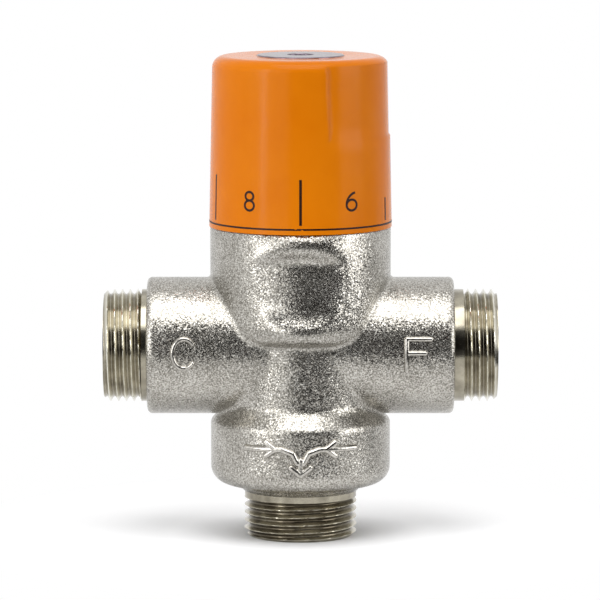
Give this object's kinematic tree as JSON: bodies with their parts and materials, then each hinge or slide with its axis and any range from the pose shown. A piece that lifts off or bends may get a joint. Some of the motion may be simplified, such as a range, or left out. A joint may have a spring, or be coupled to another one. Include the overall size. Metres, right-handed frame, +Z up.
{
  "type": "thermostatic mixing valve",
  "caption": "Three-port hot and cold water mixing valve with a temperature setting knob, wax-driven shuttle and check valves in both inlets.",
  "frame": {"origin": "centre of the mixed outlet's end face, on which the valve stands", "axes": "+Z up the spindle from the outlet to the knob, -X towards the hot inlet, +X towards the cold inlet, -Y to the front where the scale is read"},
  "size_m": [0.0916, 0.0426, 0.1128],
  "materials": {
    "nickel_plated_brass": "shot-blasted nickel plate, machined on the threads",
    "turned_brass": "turned",
    "seal_rubber": "moulded",
    "spring_steel": "drawn wire and pressed strip",
    "stainless_steel": "bright",
    "white_acetal": "moulded",
    "black_acetal": "moulded",
    "copper_capsule": "turned copper alloy",
    "orange_plastic": "satin moulded",
    "disc_metal": "anodised, faintly violet"
  },
  "bodies": {
    "valve": {"valve_body": "nickel_plated_brass", "bonnet": "turned_brass", "bonnet_o_ring": "seal_rubber", "spring_seat": "white_acetal", "return_spring": "spring_steel", "hot_check_housing": "black_acetal", "hot_check_o_ring": "seal_rubber", "hot_check_spring": "spring_steel", "hot_strainer": "stainless_steel", "cold_check_housing": "black_acetal", "cold_check_o_ring": "seal_rubber", "cold_check_spring": "spring_steel", "cold_strainer": "stainless_steel"},
    "knob": {"knob_cap": "orange_plastic", "cover_disc": "disc_metal", "knob_screw": "stainless_steel", "adjusting_spindle": "turned_brass", "spindle_o_rings": "seal_rubber", "spindle_circlip": "spring_steel"},
    "setting": {"setting_nut": "turned_brass", "cup_ring": "spring_steel", "overtravel_spring": "spring_steel"},
    "overtravel": {"overtravel_cup": "white_acetal", "element_piston": "stainless_steel"},
    "shuttle": {"shuttle": "white_acetal", "shuttle_o_ring": "seal_rubber", "wax_element": "copper_capsule"},
    "hot_check": {"hot_check_poppet": "white_acetal"},
    "cold_check": {"cold_check_poppet": "white_acetal"}
  },
  "joints": [
    {"name": "knob_turn", "type": "hinge", "parent": "valve", "child": "knob", "pos_m": [0, 0, 0.09], "axis": [0, 0, 1], "range_deg": [-168.75, 101.25]},
    {"name": "setting_travel", "type": "slide", "parent": "valve", "child": "setting", "axis": [0, 0, 1], "range_m": [-0.00187, 0.00112]},
    {"name": "overtravel_travel", "type": "slide", "parent": "setting", "child": "overtravel", "axis": [0, 0, 1], "range_m": [0, 0.002], "stiffness_N_per_m": 6000, "springref_m": -0.002, "deforming": ["overtravel_spring"]},
    {"name": "shuttle_travel", "type": "slide", "parent": "valve", "child": "shuttle", "axis": [0, 0, 1], "range_m": [-0.001, 0.001], "stiffness_N_per_m": 4000, "deforming": ["return_spring"]},
    {"name": "hot_check_lift", "type": "slide", "parent": "valve", "child": "hot_check", "axis": [1, 0, 0], "range_m": [0, 0.003], "stiffness_N_per_m": 300, "springref_m": -0.001, "deforming": ["hot_check_spring"]},
    {"name": "cold_check_lift", "type": "slide", "parent": "valve", "child": "cold_check", "axis": [-1, 0, 0], "range_m": [0, 0.003], "stiffness_N_per_m": 300, "springref_m": -0.001, "deforming": ["cold_check_spring"]}
  ],
  "couplings": [
    {"joint": "knob_turn", "follows": "setting_travel", "rad_per_m": 1570.8}
  ]
}
